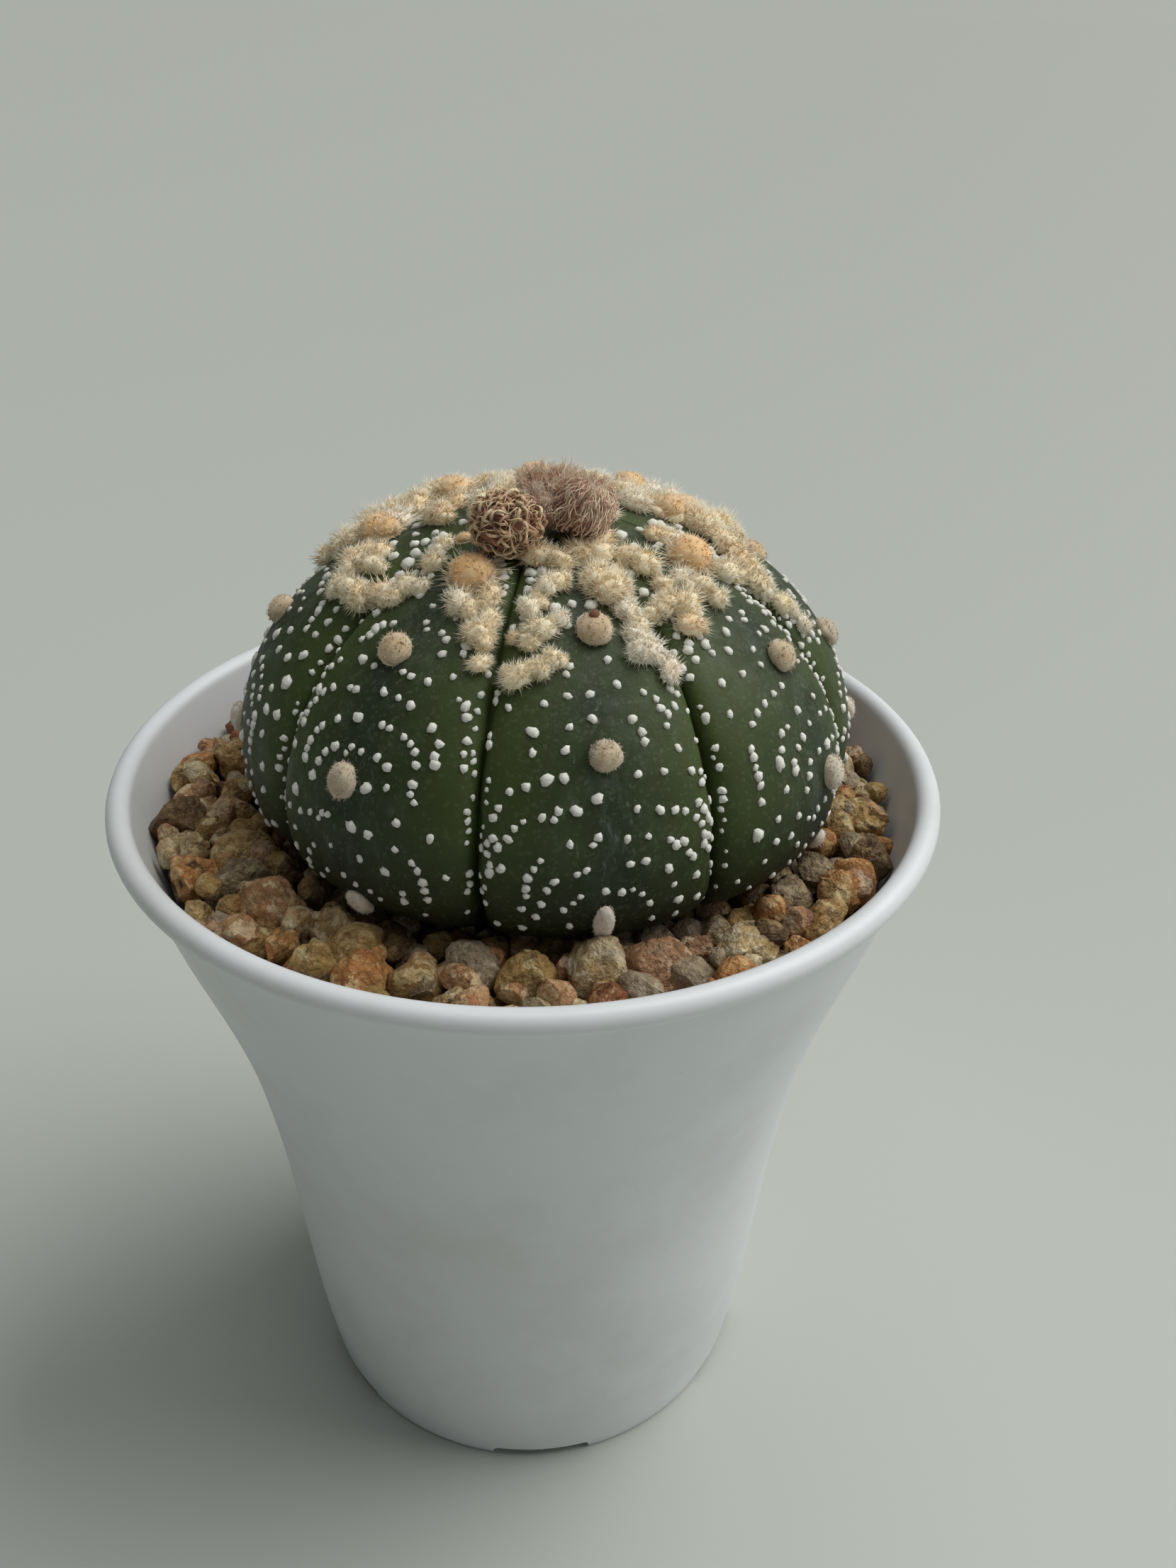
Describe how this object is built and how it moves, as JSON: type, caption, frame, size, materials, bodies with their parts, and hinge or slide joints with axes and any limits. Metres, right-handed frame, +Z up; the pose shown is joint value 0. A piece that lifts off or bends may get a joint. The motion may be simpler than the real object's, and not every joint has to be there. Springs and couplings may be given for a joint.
{
  "type": "potted hanazono star cactus",
  "caption": "Low ribbed star cactus with woolly areoles and white flocks, dried buds on its crown, top-dressed with grit in a flared white pot.",
  "frame": {"origin": "on the pot's axis, on the surface that the pot stands on", "axes": "+Z up along the pot's axis, -Y towards the side seen in front, +X to that view's right"},
  "size_m": [0.09, 0.09, 0.1205],
  "materials": {
    "pot": "white moulded plastic, satin, slightly warm inside",
    "mix": "dark damp potting mix",
    "grit": "loose fine grit",
    "plant": "dull dark green skin with grey scurf",
    "wool": "cream felt and wool on the areoles, white flocks",
    "bud": "dry brown hair and scales of spent buds",
    "stone_rust": "rough broken granite, rusty brown",
    "stone_pink": "rough broken granite, pinkish tan",
    "stone_tan": "rough broken granite, tan",
    "stone_ochre": "rough grit, yellow ochre with glassy grains",
    "stone_brown": "rough grit, dark brown",
    "stone_quartz": "speckled grit with translucent quartz",
    "stone_beige": "rough grit, beige",
    "stone_orange": "rough feldspar grit, orange tan",
    "stone_grey": "smooth worn grit, warm grey",
    "stone_rose": "rough grit, dull rose brown",
    "stone_lilac": "smooth broken grit, grey with a lilac cast"
  },
  "bodies": {
    "root": {"pot": "pot", "potting_mix": "mix", "grit_bed": "grit", "star_cactus": "plant", "dried_bud_1": "bud", "dried_bud_2": "bud", "dried_bud_3": "bud", "gravel_01_rust": "stone_rust", "gravel_02_pink": "stone_pink", "gravel_03_tan": "stone_tan", "gravel_04_ochre": "stone_ochre", "gravel_05_tan": "stone_tan", "gravel_06_brown": "stone_brown", "gravel_07_pink": "stone_pink", "gravel_08_quartz": "stone_quartz", "gravel_09_beige": "stone_beige", "gravel_10_beige": "stone_beige", "gravel_11_orange": "stone_orange", "gravel_12_grey": "stone_grey", "gravel_13_ochre": "stone_ochre", "gravel_14_tan": "stone_tan", "gravel_15_rose": "stone_rose", "gravel_16_pink": "stone_pink", "gravel_17_grey": "stone_grey", "gravel_18_orange": "stone_orange", "gravel_19_beige": "stone_beige", "gravel_20_ochre": "stone_ochre", "gravel_21_brown": "stone_brown", "gravel_22_orange": "stone_orange", "gravel_23_grey": "stone_grey", "gravel_24_brown": "stone_brown", "gravel_25_ochre": "stone_ochre", "gravel_26_beige": "stone_beige", "gravel_27_lilac": "stone_lilac", "gravel_28_brown": "stone_brown", "gravel_29_ochre": "stone_ochre", "gravel_30_brown": "stone_brown", "gravel_31_quartz": "stone_quartz", "gravel_32_quartz": "stone_quartz", "gravel_33_grey": "stone_grey", "gravel_34_rose": "stone_rose", "gravel_35_rust": "stone_rust", "gravel_36_rose": "stone_rose", "gravel_37_quartz": "stone_quartz", "gravel_38_ochre": "stone_ochre", "gravel_39_orange": "stone_orange", "gravel_40_tan": "stone_tan", "gravel_41_grey": "stone_grey", "gravel_42_orange": "stone_orange", "gravel_43_grey": "stone_grey", "gravel_44_brown": "stone_brown", "gravel_45_orange": "stone_orange", "gravel_46_ochre": "stone_ochre", "gravel_47_beige": "stone_beige", "gravel_48_rose": "stone_rose"}
  },
  "joints": []
}
